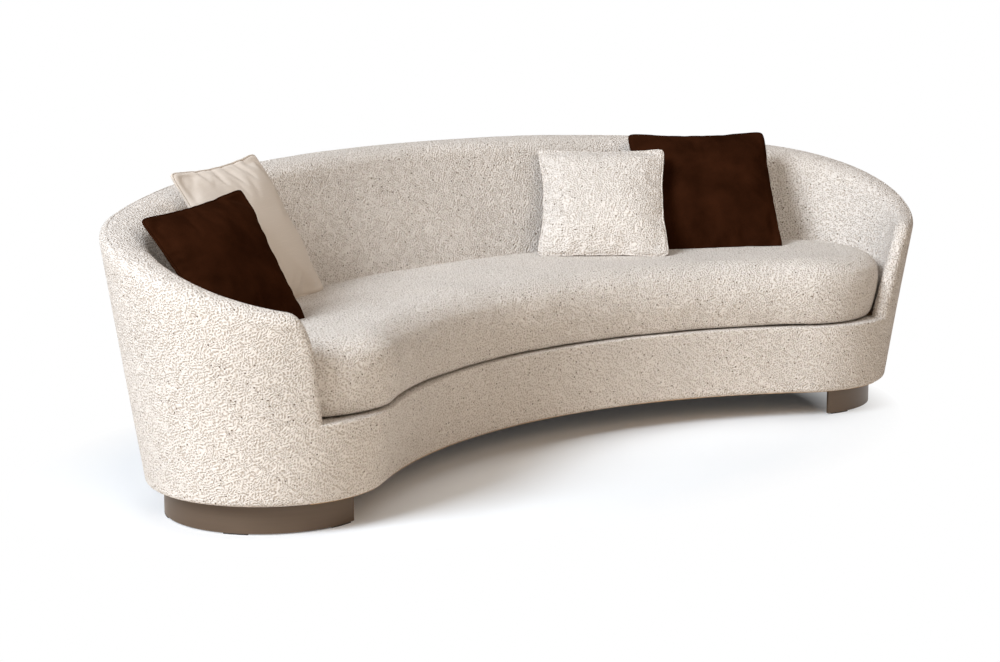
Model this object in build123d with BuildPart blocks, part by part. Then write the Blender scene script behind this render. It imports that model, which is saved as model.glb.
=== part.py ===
from build123d import *
import os
from math import cos, degrees, radians, sin, tan

# A crescent sofa: upholstered shell on a bent frame, one long seat cushion, loose pillows, metal plinths.
# Millimetres and degrees; +Z up, front towards -Y, origin on the floor under the middle of the sofa.

# Plan of the crescent at its lower hem
mid_radius = 1600.0
half_angle = 35.5
hem_half_depth = 290.0
flare_angle = 9.0

# Heights above the floor
hem_height = 75.0
base_height = 275.0
seat_height = 450.0
back_height = 760.0

# Rim line in side view: how far in front of the highest point of the back it passes, and how far below
rim_middle_setback = 508.0
rim_middle_drop = 78.0
rim_front_setback = 1150.0
rim_front_drop = 296.0
rim_margin = 200.0
rim_cap_depth = 38.0
rim_round = 11.0

# Front edges of the arms: how far below the back their foremost point is, and the round of their top corner
arm_edge_drop = 290.0
arm_corner_round = 42.0

# Thickness of the back, and how far round the ends the arms reach
back_thickness_base = 184.0
back_thickness_rim = 95.0
front_lip = 2.0
arm_end_angle = 130.0
frame_end_angle = 100.0
arm_edge_angle = 1.0

# Layers of the shell
cover_thickness = 6.0
skin_thickness = 6.0
layer_gap = 0.3
post_depth = 39.0
pad_cover_thickness = 5.0
pad_rim_allowance = 9.0

# Timber frame
board_thickness = 18.0
seat_opening_inset = 60.0
rail_depth = 30.0
rib_angles = [-30, -20, -10, 0, 10, 20, 30]
rib_hole_radius = 45.0
rib_hole_spacing = 180.0
end_rib_start = 120.0
back_post_angles = [-28, -14, 0, 14, 28]
arm_post_turns = [35, 85]

# Webbing and deck under the cushion
webbing_thickness = 2.0
webbing_width = 60.0
webbing_overlap = 30.0
webbing_angles = [-36, -27, -18, -9, 0, 9, 18, 27, 36]
long_webbing_offsets = [-95, 0, 95]
deck_thickness = 6.0

# Seat cushion: height of each level above its underside, and how far its sides draw in there
cushion_clearance = 3.0
cushion_levels = [0.0, 0.155, 0.38, 0.6, 0.79, 0.917, 0.972, 1.0]
cushion_draws = [17.0, 4.0, 0.0, 4.0, 18.0, 48.0, 88.0, 130.0]
cushion_cover_thickness = 6.0

# Plinths
plinth_inset = 42.0
plinth_plate = 8.0
flange_width = 54.0
flange_thickness = 6.0
plinth_start = 18.0
plinth_end = 162.0
rear_plinth_half_angle = 10.0
glide_thickness = 3.0
glide_length = 60.0
plinth_screw_turns = [30, 60, 90, 120, 150]
rear_screw_angles = [-8, 0, 8]
glide_turns = [28, 90, 152]
screw_radius = 3.0
screw_head_radius = 6.0
screw_head_height = 5.0
screw_bite = 15.0
hole_clearance = 0.3
dust_cloth_thickness = 1.0
dust_cloth_gap = 5.0

# Loose pillows: thickness over both faces, share of it at each level, size and bulge of the outline there
pillow_thickness = 110.0
pillow_levels = [0.0, 0.45, 0.8, 1.0]
pillow_sizes = [1.0, 0.9, 0.7, 0.38]
pillow_bulges = [-0.035, 0.01, 0.09, 0.14]
pillow_cover_thickness = 4.0
pillow_seam_allowance = 8.0

# Each pillow: width, height, the end that it lies near (-1 left, 1 right), its angle from that end,
# how far it is behind the middle line and its lower edge above the seat, then its turn and its lean
pillows = {
    "boucle_pillow": (366, 356, 1, 19.22, 48.5, 4.5, -26.42, 40.7),
    "velvet_pillow_right": (405, 383, 1, 7.7, 92.0, 2.1, -5.4, 37.5),
    "velvet_pillow_left": (372, 360, -1, -0.36, 81.6, 2.3, -18.96, 36.5),
    "linen_pillow": (390, 394, -1, 10.21, 162.7, 0.9, -0.69, 29.8),
}

# Sizes that follow from those above
flare = tan(radians(flare_angle))
rim_round_loss = rim_round * (flare + 1 / cos(radians(flare_angle)) - 1)
rear_reach = mid_radius + hem_half_depth + flare * (back_height - hem_height)
arm_reach = hem_half_depth + flare * (back_height - arm_edge_drop - hem_height)
front_reach = mid_radius * cos(radians(half_angle)) + arm_reach * cos(radians(half_angle + arm_end_angle))
centre_y = -(rear_reach - rim_round_loss + front_reach) / 2
centre = (0, centre_y)
frame_inset = cover_thickness + skin_thickness + 2 * layer_gap
pad_inset = frame_inset + post_depth + layer_gap
skin_face = cover_thickness + layer_gap
skin_end_angle = arm_end_angle - 2 * arm_edge_angle
seat_board_top = base_height - deck_thickness - 2 * webbing_thickness
seat_board_bottom = seat_board_top - board_thickness
bottom_board_top = hem_height + board_thickness
deck_bottom = base_height - deck_thickness
block_top = back_height + rim_margin
cushion_bottom = base_height + layer_gap
plinth_radius = hem_half_depth - plinth_inset
rear_radius = mid_radius + plinth_radius
flange_bottom = hem_height - flange_thickness
screw_line = plinth_radius - flange_width / 2


def outer_half_depth(z):
    """Half depth of the flared outside at a height."""
    return hem_half_depth + flare * (z - hem_height)


def well_size(z):
    """Middle radius and half depth of the seat well at a height."""
    share = (z - seat_board_top) / (back_height - seat_board_top)
    back = back_thickness_base + share * (back_thickness_rim - back_thickness_base)
    return mid_radius + (front_lip - back) / 2, outer_half_depth(z) - (front_lip + back) / 2


def on_arc(radius, angle):
    """Point on an arc about the crescent's centre, its angle counted from the back towards +X."""
    return (radius * sin(radians(angle)), centre_y + radius * cos(radians(angle)))


def end_heading(side, turn):
    """Heading of a line from an end's centre, turned from the back round the tip to the front."""
    return 90 - side * (half_angle + turn)


def crescent(radius, half_depth):
    """Crescent outline with round ends."""
    left = on_arc(radius, -half_angle)
    right = on_arc(radius, half_angle)
    with BuildLine() as outline:
        CenterArc(centre, radius + half_depth, 90 - half_angle, 2 * half_angle)
        CenterArc(left, half_depth, 90 + half_angle, 90)
        CenterArc(left, half_depth, 180 + half_angle, 90)
        CenterArc(centre, radius - half_depth, 90 - half_angle, 2 * half_angle)
        CenterArc(right, half_depth, 270 - half_angle, 90)
        CenterArc(right, half_depth, 360 - half_angle, 90)
    return outline.edges()


def ring_sector(middle, inner, outer, start, sweep):
    """Outline of a flat band between two radii."""
    with BuildLine() as outline:
        inside = CenterArc(middle, inner, start, sweep)
        outside = CenterArc(middle, outer, start, sweep)
        Line(inside @ 0, outside @ 0)
        Line(inside @ 1, outside @ 1)
    return outline.edges()


def flared_block(inset, low, high):
    """Solid inside the flared outside, drawn in by an inset."""
    with BuildPart() as block:
        with BuildSketch(Plane.XY.offset(low)):
            make_face(crescent(mid_radius, outer_half_depth(low) - inset))
        extrude(amount=high - low, taper=-flare_angle)
    return block.part


def seat_well(outset, low, high):
    """Space in front of the back and inside the arms, grown by an outset."""
    with BuildPart() as block:
        for level in (low, high):
            radius, half_depth = well_size(level)
            with BuildSketch(Plane.XY.offset(level)):
                make_face(crescent(radius, half_depth + outset))
        loft(ruled=True)
    return block.part


def front_opening(turn, low):
    """Space in front of the arms, from a turn round each end, above a height."""
    reach = 2 * hem_half_depth
    with BuildPart() as block:
        with BuildSketch(Plane.XY.offset(low)):
            make_face(ring_sector(centre, mid_radius - reach, mid_radius, 90 - half_angle, 2 * half_angle))
            for side in (-1, 1):
                apex = Vector(*on_arc(mid_radius, side * half_angle))
                edge = end_heading(side, turn)
                inward = end_heading(side, 180)
                with BuildLine():
                    Polyline(
                        apex,
                        apex + Vector(reach, 0).rotate(Axis.Z, edge),
                        apex + Vector(reach, 0).rotate(Axis.Z, inward),
                        close=True,
                    )
                make_face()
        extrude(amount=block_top - low)
    return block.part


def beyond_rim(drop, above):
    """Everything above, or below, the rim line lowered by a drop."""
    rear_y = centre_y + rear_reach
    rear = (rear_y, back_height - drop)
    middle = (rear_y - rim_middle_setback, back_height - rim_middle_drop - drop)
    front = (rear_y - rim_front_setback, back_height - rim_front_drop - drop)
    far = block_top + rim_margin if above else 0
    with BuildPart() as block:
        with BuildSketch(Plane.YZ):
            with BuildLine():
                ThreePointArc(rear, middle, front)
                Polyline(
                    front,
                    (front[0] - rim_margin, front[1] - rim_margin / 2),
                    (front[0] - rim_margin, far),
                    (rear[0] + rim_margin, far),
                    (rear[0] + rim_margin, rear[1]),
                    rear,
                )
            make_face()
        extrude(amount=mid_radius, both=True)
    return block.part


def shell_layer(outer_inset, inner_inset, low):
    """Layer of even thickness inside the flared outside."""
    outer = flared_block(outer_inset, low, block_top)
    inner = flared_block(inner_inset, low, block_top)
    with BuildPart() as layer:
        add(outer)
        add(inner, mode=Mode.SUBTRACT)
    return layer.part


def back_wall(outer_inset, well_outset, rim_drop, turn):
    """The whole thickness of the back and arms, above the seat board."""
    outside = flared_block(outer_inset, seat_board_top, block_top)
    well = seat_well(well_outset, seat_board_top, block_top)
    opening = front_opening(turn, seat_board_top)
    above = beyond_rim(rim_drop, True)
    with BuildPart() as wall:
        add(outside)
        add([well, opening, above], mode=Mode.SUBTRACT)
    return wall.part


def padded_zone(frame_outset, cap_drop):
    """The space that the outer cover, the skin and the frame take up under the padded cap."""
    skin = shell_layer(-cover_thickness, frame_inset + frame_outset, seat_board_top)
    posts = shell_layer(-cover_thickness, pad_inset + frame_outset, seat_board_top)
    opening = front_opening(frame_end_angle + arm_edge_angle, seat_board_top)
    above = beyond_rim(cap_drop, True)
    with BuildPart() as zone:
        add(posts)
        add(opening, mode=Mode.SUBTRACT)
        add(skin)
        add(above, mode=Mode.SUBTRACT)
    return zone.part


def radial_plane(angle):
    """Upright plane through the crescent's centre: x outwards, y up."""
    outward = (sin(radians(angle)), cos(radians(angle)), 0)
    return Plane(origin=(*centre, 0), x_dir=outward, z_dir=(outward[1], -outward[0], 0))


def end_plane(side, turn):
    """Upright plane through the centre of an end: x outwards, y up."""
    heading = radians(end_heading(side, turn))
    outward = (cos(heading), sin(heading), 0)
    origin = (*on_arc(mid_radius, side * half_angle), 0)
    return Plane(origin=origin, x_dir=outward, z_dir=(outward[1], -outward[0], 0))


def end_screw_spots(side):
    """Screw places along the flange of an end plinth."""
    spots = [end_plane(side, turn).from_local_coords(Vector(screw_line, 0)) for turn in plinth_screw_turns]
    return [(spot.X, spot.Y) for spot in spots]


def outline_of_post(start):
    """Side view of a leaning post, its radii counted from a start."""
    low = seat_board_top
    high = back_height
    Polygon(
        (start + outer_half_depth(low) - frame_inset - post_depth, low),
        (start + outer_half_depth(low) - frame_inset - layer_gap, low),
        (start + outer_half_depth(high) - frame_inset - layer_gap, high),
        (start + outer_half_depth(high) - frame_inset - post_depth, high),
        align=None,
    )


def keep(piece, name):
    """Name a finished piece and write it."""
    piece.part.label = name
    export_step(piece.part, f"parts/{name}.step")


os.makedirs("parts", exist_ok=True)

# Outer cover: one cloth from the hem to the rim, round the arms and along the front of the base
cover_outside = shell_layer(0, cover_thickness, hem_height)
open_front = front_opening(arm_end_angle, base_height)
over_cover = beyond_rim(rim_cap_depth + layer_gap, True)
with BuildPart() as outer_cover:
    add(cover_outside)
    add([open_front, over_cover], mode=Mode.SUBTRACT)
keep(outer_cover, "outer_cover")

# Bent back shell behind the cover, and the bent front skin that carries it on round the base
skin_layer = shell_layer(skin_face, skin_face + skin_thickness, hem_height)
shell_front = front_opening(skin_end_angle, hem_height)
with BuildPart() as back_shell:
    add(skin_layer)
    add([shell_front, over_cover], mode=Mode.SUBTRACT)
keep(back_shell, "back_shell")

skin_front = front_opening(skin_end_angle + degrees(layer_gap / hem_half_depth), hem_height)
over_deck = front_opening(skin_end_angle - arm_edge_angle, seat_board_top)
with BuildPart() as front_skin:
    add(skin_layer)
    add(skin_front, mode=Mode.INTERSECT)
    add(over_deck, mode=Mode.SUBTRACT)
keep(front_skin, "front_skin")

# Boards above and below the base
rear_screw_spots = [on_arc(mid_radius + screw_line, angle) for angle in rear_screw_angles]
screw_spots = end_screw_spots(-1) + end_screw_spots(1) + rear_screw_spots
board_block = flared_block(frame_inset, hem_height, bottom_board_top)
with BuildPart() as bottom_board:
    add(board_block)
    with BuildSketch(Plane.XY.offset(hem_height)):
        with Locations(*screw_spots):
            Circle(screw_radius + hole_clearance)
    extrude(amount=screw_bite + hole_clearance, mode=Mode.SUBTRACT)
keep(bottom_board, "bottom_board")

well_radius, well_half_depth = well_size(seat_board_top)
opening_half_depth = well_half_depth - seat_opening_inset
seat_block = flared_block(frame_inset, seat_board_bottom, seat_board_top)
with BuildPart() as seat_board:
    add(seat_block)
    with BuildSketch(Plane.XY.offset(seat_board_bottom)):
        make_face(crescent(well_radius, opening_half_depth))
    extrude(amount=board_thickness, mode=Mode.SUBTRACT)
keep(seat_board, "seat_board")

# Ribs between the boards
rib_foot = outer_half_depth(bottom_board_top) - frame_inset - layer_gap
rib_top = outer_half_depth(seat_board_bottom) - frame_inset - layer_gap
for number, angle in enumerate(rib_angles, start=1):
    with BuildPart() as base_rib:
        with BuildSketch(radial_plane(angle)):
            Polygon(
                (mid_radius - rib_foot, bottom_board_top),
                (mid_radius + rib_foot, bottom_board_top),
                (mid_radius + rib_top, seat_board_bottom),
                (mid_radius - rib_top, seat_board_bottom),
                align=None,
            )
            with Locations((mid_radius, (bottom_board_top + seat_board_bottom) / 2)):
                with GridLocations(rib_hole_spacing, 0, 2, 1):
                    Circle(rib_hole_radius, mode=Mode.SUBTRACT)
        extrude(amount=board_thickness / 2, both=True)
    keep(base_rib, f"base_rib_{number}")

for side, word in ((-1, "left"), (1, "right")):
    with BuildPart() as end_rib:
        with BuildSketch(end_plane(side, 90)):
            Polygon(
                (end_rib_start, bottom_board_top),
                (rib_foot - layer_gap, bottom_board_top),
                (rib_top - layer_gap, seat_board_bottom),
                (end_rib_start, seat_board_bottom),
                align=None,
            )
        extrude(amount=board_thickness / 2, both=True)
    keep(end_rib, f"end_rib_{word}")

# Posts of the back and arms, and the bent rail along their tops
over_posts = beyond_rim(rim_cap_depth + rail_depth + 2 * layer_gap, True)
for number, angle in enumerate(back_post_angles, start=1):
    with BuildPart() as back_post:
        with BuildSketch(radial_plane(angle)):
            outline_of_post(mid_radius)
        extrude(amount=board_thickness / 2, both=True)
        add(over_posts, mode=Mode.SUBTRACT)
    keep(back_post, f"back_post_{number}")

for side, word in ((-1, "left"), (1, "right")):
    for number, turn in enumerate(arm_post_turns, start=1):
        with BuildPart() as arm_post:
            with BuildSketch(end_plane(side, turn)):
                outline_of_post(0)
            extrude(amount=board_thickness / 2, both=True)
            add(over_posts, mode=Mode.SUBTRACT)
        keep(arm_post, f"arm_post_{word}_{number}")

rail_layer = shell_layer(frame_inset + layer_gap, frame_inset + post_depth, seat_board_top)
rail_front = front_opening(frame_end_angle, seat_board_top)
under_rail = beyond_rim(rim_cap_depth + rail_depth + layer_gap, False)
with BuildPart() as top_rail:
    add(rail_layer)
    add([rail_front, over_cover, under_rail], mode=Mode.SUBTRACT)
keep(top_rail, "top_rail")

# Padded inside of the back: foam, and the cover that wraps it and the rim
whole_wall = back_wall(0, 0, 0, arm_end_angle)
frame_space = padded_zone(0, rim_cap_depth)
foam_wall = back_wall(pad_cover_thickness, pad_cover_thickness, pad_rim_allowance, skin_end_angle)
foam_space = padded_zone(pad_cover_thickness, rim_cap_depth - pad_cover_thickness)
with BuildPart() as inner_back_foam:
    add(foam_wall)
    add(foam_space, mode=Mode.SUBTRACT)
keep(inner_back_foam, "inner_back_foam")

with BuildPart() as inner_back_cover:
    add(whole_wall)
    for end in faces().filter_by(GeomType.PLANE).filter_by(Plane.XY, reverse=True):
        fillet(end.edges().sort_by(Axis.Z)[-1], arm_corner_round)
    arm_ends = faces().filter_by(GeomType.PLANE).filter_by(Plane.XY, reverse=True)
    rim_edges = faces().filter_by(GeomType.CYLINDER).edges().filter_by(lambda edge: edge.length > rim_margin)
    fillet(rim_edges + arm_ends.edges().filter_by(GeomType.LINE), rim_round)
    add(frame_space, mode=Mode.SUBTRACT)
    add(inner_back_foam.part, mode=Mode.SUBTRACT)
keep(inner_back_cover, "inner_back_cover")

# Webbing across the seat opening, and the deck cloth over it
with BuildPart() as cross_webbing:
    for angle in webbing_angles:
        middle = on_arc(well_radius, angle)
        outward = (sin(radians(angle)), cos(radians(angle)), 0)
        with BuildSketch(Plane(origin=(*middle, seat_board_top), x_dir=outward, z_dir=(0, 0, 1))):
            Rectangle(2 * (opening_half_depth + webbing_overlap), webbing_width)
    extrude(amount=webbing_thickness)
keep(cross_webbing, "cross_webbing")

with BuildPart() as long_webbing:
    with BuildSketch(Plane.XY.offset(seat_board_top + webbing_thickness)):
        for offset_from_middle in long_webbing_offsets:
            inner = well_radius + offset_from_middle - webbing_width / 2
            make_face(ring_sector(centre, inner, inner + webbing_width, 90 - half_angle, 2 * half_angle))
    extrude(amount=webbing_thickness)
keep(long_webbing, "long_webbing")

deck_block = flared_block(skin_face, deck_bottom, base_height)
wall_foot = back_wall(-cover_thickness, -layer_gap, 0, arm_end_angle + arm_edge_angle)
with BuildPart() as deck_cloth:
    add(deck_block)
    add(wall_foot, mode=Mode.SUBTRACT)
keep(deck_cloth, "deck_cloth")


def cushion_body(inset, low, high):
    """Crowned seat cushion, all round by an inset smaller than its cover."""
    with BuildPart() as body:
        for level, draw in zip(cushion_levels, cushion_draws):
            z = low + level * (high - low)
            radius, half_depth = well_size(z)
            with BuildSketch(Plane.XY.offset(z)):
                make_face(crescent(radius, half_depth - cushion_clearance - draw - inset))
        loft()
    return body.part


# Seat cushion: foam core and cover
core_low = cushion_bottom + cushion_cover_thickness
core_high = seat_height - cushion_cover_thickness
with BuildPart() as seat_cushion_foam:
    add(cushion_body(cushion_cover_thickness, core_low, core_high))
keep(seat_cushion_foam, "seat_cushion_foam")

with BuildPart() as seat_cushion_cover:
    add(cushion_body(0, cushion_bottom, seat_height))
    add(seat_cushion_foam.part, mode=Mode.SUBTRACT)
keep(seat_cushion_cover, "seat_cushion_cover")


def pillow_plane(height, side, from_end, behind, lift, turn, lean):
    """Middle plane of a leaning pillow: x along its width, y up its height, z out of its front."""
    angle = side * (half_angle - from_end)
    heading = radians(turn - angle)
    across = Vector(cos(heading), sin(heading), 0)
    level_front = Vector(sin(heading), -cos(heading), 0)
    front = level_front * cos(radians(lean)) + Vector(0, 0, sin(radians(lean)))
    middle_height = seat_height + lift + height / 2 * cos(radians(lean))
    return Plane(origin=(*on_arc(mid_radius + behind, angle), middle_height), x_dir=across, z_dir=front)


def pillow_body(plane, width, height, thickness):
    """Pillow with a sewn edge, drawn-in sides and a crown on both faces."""
    with BuildPart() as body:
        for face in (-1, 1):
            for level, size, bulge in zip(pillow_levels, pillow_sizes, pillow_bulges):
                x = size * width / 2
                y = size * height / 2
                with BuildSketch(plane.offset(face * level * thickness / 2)):
                    with BuildLine():
                        ThreePointArc((-x, -y), (0, -y * (1 + bulge)), (x, -y))
                        ThreePointArc((x, -y), (x * (1 + bulge), 0), (x, y))
                        ThreePointArc((x, y), (0, y * (1 + bulge)), (-x, y))
                        ThreePointArc((-x, y), (-x * (1 + bulge), 0), (-x, -y))
                    make_face()
            loft()
    return body.part


# Loose pillows: filling and cover
for name, (width, height, *place) in pillows.items():
    plane = pillow_plane(height, *place)
    trim = 2 * pillow_seam_allowance
    core = pillow_thickness - 2 * pillow_cover_thickness
    with BuildPart() as pillow_filling:
        add(pillow_body(plane, width - trim, height - trim, core))
    keep(pillow_filling, f"{name}_filling")
    with BuildPart() as pillow_cover:
        add(pillow_body(plane, width, height, pillow_thickness))
        add(pillow_filling.part, mode=Mode.SUBTRACT)
    keep(pillow_cover, f"{name}_cover")

# Plinths: bent plate on edge with a screwed flange on top
for side, word in ((-1, "left"), (1, "right")):
    middle = on_arc(mid_radius, side * half_angle)
    start = end_heading(side, plinth_start)
    sweep = -side * (plinth_end - plinth_start)
    with BuildPart() as end_plinth:
        with BuildSketch(Plane.XY.offset(flange_bottom)):
            make_face(ring_sector(middle, plinth_radius - flange_width, plinth_radius, start, sweep))
            with Locations(*end_screw_spots(side)):
                Circle(screw_radius + hole_clearance, mode=Mode.SUBTRACT)
        extrude(amount=flange_thickness)
        with BuildSketch(Plane.XY.offset(glide_thickness)):
            make_face(ring_sector(middle, plinth_radius - plinth_plate, plinth_radius, start, sweep))
        extrude(amount=flange_bottom - glide_thickness)
    keep(end_plinth, f"end_plinth_{word}")

rear_span = (90 - rear_plinth_half_angle, 2 * rear_plinth_half_angle)
with BuildPart() as rear_plinth:
    with BuildSketch(Plane.XY.offset(flange_bottom)):
        make_face(ring_sector(centre, rear_radius - flange_width, rear_radius, *rear_span))
        with Locations(*rear_screw_spots):
            Circle(screw_radius + hole_clearance, mode=Mode.SUBTRACT)
    extrude(amount=flange_thickness)
    with BuildSketch(Plane.XY.offset(glide_thickness)):
        make_face(ring_sector(centre, rear_radius - plinth_plate, rear_radius, *rear_span))
    extrude(amount=flange_bottom - glide_thickness)
keep(rear_plinth, "rear_plinth")

# Plinth screws, and the felt glides under the plates
with BuildPart() as plinth_screws:
    with BuildSketch(Plane.XY.offset(flange_bottom - screw_head_height)):
        with Locations(*screw_spots):
            Circle(screw_head_radius)
    extrude(amount=screw_head_height)
    with BuildSketch(Plane.XY.offset(flange_bottom)):
        with Locations(*screw_spots):
            Circle(screw_radius)
    extrude(amount=flange_thickness + screw_bite)
keep(plinth_screws, "plinth_screws")

with BuildPart() as floor_glides:
    with BuildSketch(Plane.XY):
        for side in (-1, 1):
            middle = on_arc(mid_radius, side * half_angle)
            sweep = degrees(glide_length / plinth_radius)
            for turn in glide_turns:
                start = end_heading(side, turn) - sweep / 2
                make_face(ring_sector(middle, plinth_radius - plinth_plate, plinth_radius, start, sweep))
        sweep = degrees(glide_length / rear_radius)
        for angle in rear_screw_angles:
            start = 90 - angle - sweep / 2
            make_face(ring_sector(centre, rear_radius - plinth_plate, rear_radius, start, sweep))
    extrude(amount=glide_thickness)
keep(floor_glides, "floor_glides")

# Dust cloth under the base, inside the flanges
with BuildPart() as dust_cloth:
    with BuildSketch(Plane.XY.offset(hem_height - dust_cloth_thickness)):
        make_face(crescent(mid_radius, plinth_radius - flange_width - dust_cloth_gap))
    extrude(amount=dust_cloth_thickness)
keep(dust_cloth, "dust_cloth")
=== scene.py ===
"""Dresses a crescent sofa: looped cloth over the shell, one long cushion, four pillows, bronze plinths."""

from math import ceil, cos, pi, radians, sin, sqrt, tan

import bmesh
import bpy
import numpy as np
from bpy.props import FloatProperty, FloatVectorProperty, IntProperty, PointerProperty
from mathutils import Matrix, Vector, noise


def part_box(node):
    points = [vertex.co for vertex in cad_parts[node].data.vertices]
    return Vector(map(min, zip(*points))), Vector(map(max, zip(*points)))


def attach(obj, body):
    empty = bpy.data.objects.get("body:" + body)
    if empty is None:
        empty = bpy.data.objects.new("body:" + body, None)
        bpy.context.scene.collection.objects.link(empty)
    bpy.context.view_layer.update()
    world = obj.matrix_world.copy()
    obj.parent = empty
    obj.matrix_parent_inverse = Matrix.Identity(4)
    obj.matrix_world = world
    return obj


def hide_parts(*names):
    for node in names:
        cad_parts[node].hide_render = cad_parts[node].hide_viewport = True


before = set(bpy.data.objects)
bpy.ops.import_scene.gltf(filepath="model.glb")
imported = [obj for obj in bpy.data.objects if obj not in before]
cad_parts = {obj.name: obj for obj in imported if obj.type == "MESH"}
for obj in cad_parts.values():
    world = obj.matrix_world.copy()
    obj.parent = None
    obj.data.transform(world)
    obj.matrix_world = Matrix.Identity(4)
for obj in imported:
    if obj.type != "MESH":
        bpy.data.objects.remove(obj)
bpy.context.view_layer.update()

bl_info = {
    "name": "Crescent Sofa",
    "version": (1, 0, 0),
    "blender": (4, 5, 0),
    "location": "3D View > Sidebar > Sofa",
    "description": "Upholsters the frame of a crescent sofa and sets its studio",
    "category": "Object",
}

HEM_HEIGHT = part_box("outer_cover")[0].z
DECK_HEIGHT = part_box("deck_cloth")[1].z
SEAT_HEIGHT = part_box("seat_cushion_cover")[1].z
REAR_PLINTH_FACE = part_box("rear_plinth")[1].y
SHELL = "sofa_body"

# The looped cloth's pattern: waves that are summed, their length in metres and the turn from one to the next
LOOP_WAVES = 7
LOOP_LENGTH = 0.0062
LOOP_TURN = 2.4

# Share of its spacing that a stitch is long
STITCH_SHARE = 0.55

# Round of the arms' edges and the rim: width of the seam's dip in radians, and how square its section is
SEAM_SPREAD = 0.16
EDGE_SQUARENESS = 0.8

# Steps round the hem, the ledge and the arms' top corners, then the ledge's top: how far it lies under
# the corner of its round, how steeply it falls, and where it bends, in metres
ROUND_STEPS = 7
CORNER_STEPS = 10
LEDGE_GAP = 0.0006
LEDGE_FALL = 0.02
LEDGE_BENDS = (0.012, 0.03)

# Plywood skin behind the outside cover, in metres: how far it ends behind the arms' edges and above the
# foot of the CAD's skin
SKIN_SETBACK = 0.05
SKIN_FOOT_GAP = 0.002

# Lining, in metres: mesh spacing, then how far the deck lies behind the middle of the well, inside its
# outline and under its top, how far it sags and how thick it is, then the dust cover's gap and thickness
# and its staples' distance from the edge and from each other
LINING_SPACING = 0.03
DECK_SETBACK = 0.022
DECK_INSET = 0.028
DECK_GAP = 0.0008
DECK_SAG = 0.002
DECK_THICKNESS = 0.002
DUST_COVER_GAP = 0.0004
DUST_COVER_THICKNESS = 0.0008
STAPLE_INSET = 0.009
STAPLE_SPACING = 0.045

# Outline of the seat cushion: share of its height at each level, how far its sides draw in there, and how
# far its filled top may rise above the seat's height, in metres
CUSHION_LEVELS = (0, 0.03, 0.1, 0.22, 0.38, 0.6, 0.79, 0.917, 0.972, 1)
CUSHION_DRAWS = (0.006, 0.002, 0.0005, 0, 0, 0.004, 0.018, 0.048, 0.088, 0.130)
CUSHION_RISE = 0.001

# Pillows before they fill: sharpness of their corners, share of their thickness, fullness towards the
# edge, and the size and share of their unevenness
CORNER_SHARPNESS = 14
UNFILLED_SHARE = 0.42
UNFILLED_FULLNESS = 0.45
UNEVEN_SIZE = 1.5
UNEVEN_SHARE = 0.15

# Each pillow: its cloth, width, height, turn about the upright and lean, in metres and degrees, then the
# shares by which its left, right, lower and upper side draw in, and how far its lower left, lower right,
# upper left and upper right corner has sunk, in metres along its width and height
PILLOWS = {
    "boucle_pillow": (
        "boucle", 0.370, 0.362, -42.7, 40.7, (0.10, 0.065, 0.015, 0.065),
        ((-0.002, -0.002), (0.002, -0.002), (0, 0), (-0.003, 0)),
    ),
    "velvet_pillow_right": (
        "velvet", 0.409, 0.386, -33.2, 37.5, (0.06, 0.03, 0.015, 0.06),
        ((0, -0.012), (0.004, -0.012), (-0.002, 0), (0.002, 0)),
    ),
    "velvet_pillow_left": (
        "velvet", 0.374, 0.362, 16.9, 36.5, (0.06, 0.0, 0.02, 0.05),
        ((0, -0.015), (-0.042, -0.024), (-0.032, -0.029), (0.006, 0.003)),
    ),
    "linen_pillow": (
        "linen", 0.394, 0.396, 24.6, 29.8, (0.06, -0.01, 0.02, 0.07),
        ((0, 0), (0.004, -0.008), (-0.033, -0.004), (0.002, 0.002)),
    ),
}


def length(name, description, default):
    """A size in metres for the sidebar."""
    return FloatProperty(name=name, description=description, default=default, min=0, unit="LENGTH")


def angle(name, description, default):
    """An angle for the sidebar, its default given in degrees."""
    return FloatProperty(name=name, description=description, default=radians(default), subtype="ANGLE")


def colour(name, description, default):
    """A linear colour for the sidebar."""
    return FloatVectorProperty(
        name=name, description=description, default=default, min=0, max=1, subtype="COLOR"
    )


class SofaPlan(bpy.types.PropertyGroup):
    """Sizes of the crescent and of its walls."""

    mid_radius: length("Middle radius", "Radius of the crescent's middle line", 1.6)
    half_angle: angle("Half angle", "From the middle to the centre of an end", 35.5)
    hem_half_depth: length("Half depth", "Half the depth at the hem", 0.29)
    flare_angle: angle("Flare", "Lean of the outside wall", 9)
    back_height: length("Back height", "Highest point of the rim", 0.76)
    rim_middle_setback: length("Rim middle", "Middle point of the rim line, in front of the back", 0.508)
    rim_middle_drop: length("Rim middle drop", "Middle point of the rim line, below the back", 0.078)
    rim_front_setback: length("Rim front", "Front point of the rim line, in front of the back", 1.15)
    rim_front_drop: length("Rim front drop", "Front point of the rim line, below the back", 0.296)
    back_thickness_base: length("Back at seat", "Thickness of the back at the seat board", 0.184)
    back_thickness_rim: length("Back at rim", "Thickness of the back at its top", 0.095)
    well_floor: length("Well floor", "Height of the seat board", 0.265)
    front_lip: length("Front lip", "Wall left at the very front of the seat", 0.002)
    arm_end_angle: angle("Arm end", "How far round an end its arm reaches, at the seat deck", 131.3)
    edge_lean: angle("Edge lean", "Lean of the arms' front edges, up and back", 9.7)
    lean_reach: angle("Lean reach", "Stretch of an arm over which its cloth follows the lean of its edge", 35)
    plinth_radius: length("Plinth radius", "Outside of an end plinth", 0.248)


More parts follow.
